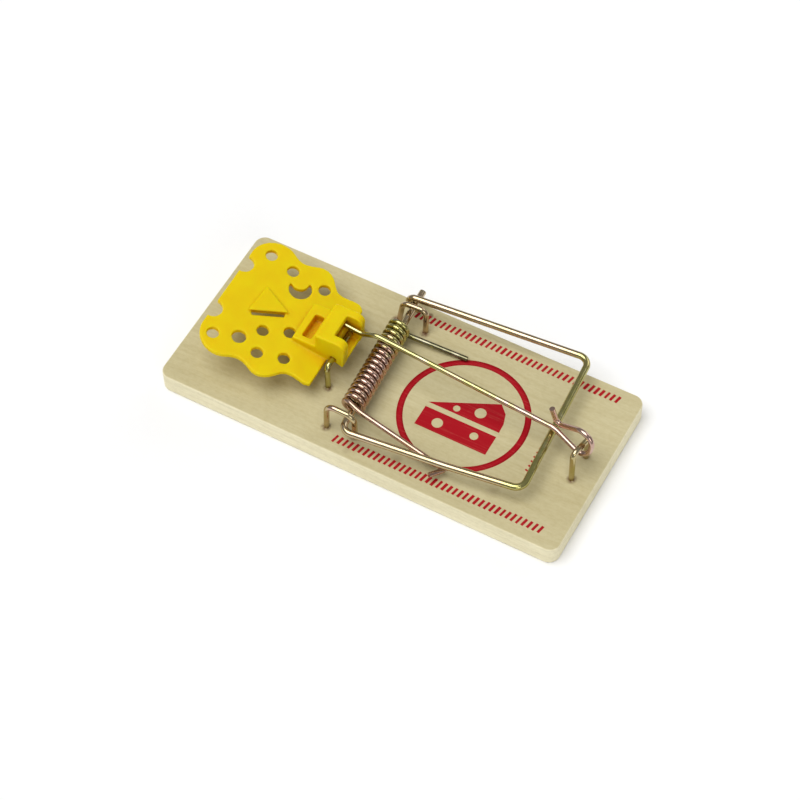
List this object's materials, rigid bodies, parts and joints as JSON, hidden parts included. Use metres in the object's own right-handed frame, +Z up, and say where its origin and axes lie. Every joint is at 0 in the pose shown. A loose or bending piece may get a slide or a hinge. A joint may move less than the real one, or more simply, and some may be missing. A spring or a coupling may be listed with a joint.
{
  "type": "snap mouse trap",
  "caption": "Set snap trap: wooden board, coil-sprung wire kill bar, hinged hold-down bar and moulded bait pedal with a catch, held by wire staples.",
  "frame": {"origin": "centre of the board's underside", "axes": "+Z up out of the printed face, +X along the board towards the hold-down staple, +Y to the rear long edge"},
  "size_m": [0.098, 0.0461, 0.0175],
  "materials": {
    "board": "sanded, unfinished",
    "wire": "yellow zinc plated",
    "spring_wire": "zinc plated, iridescent",
    "pedal": "moulded, semi-gloss"
  },
  "bodies": {
    "base": {"base_board": "board", "front_hammer_staple": "wire", "rear_hammer_staple": "wire", "hold_down_staple": "wire", "pedal_staple": "wire", "torsion_spring": "spring_wire"},
    "kill_bar_body": {"kill_bar": "wire"},
    "hold_down_body": {"hold_down_bar": "wire"},
    "pedal_body": {"bait_pedal": "pedal"}
  },
  "joints": [
    {"name": "kill_bar_swing", "type": "hinge", "parent": "base", "child": "kill_bar_body", "pos_m": [-0.00549, 0.00069, 0.0091], "axis": [0.0523, -0.9986, 0], "range_deg": [0, 183], "deforming": ["torsion_spring"]},
    {"name": "hold_down_swing", "type": "hinge", "parent": "base", "child": "hold_down_body", "pos_m": [0.04395, -0.0008, 0.01355], "axis": [0, 1, 0], "range_deg": [0, 145]},
    {"name": "pedal_tilt", "type": "hinge", "parent": "base", "child": "pedal_body", "pos_m": [-0.0145, 0.00045, 0.0114], "axis": [0.0157, -0.9999, 0], "range_deg": [0, 17]}
  ]
}
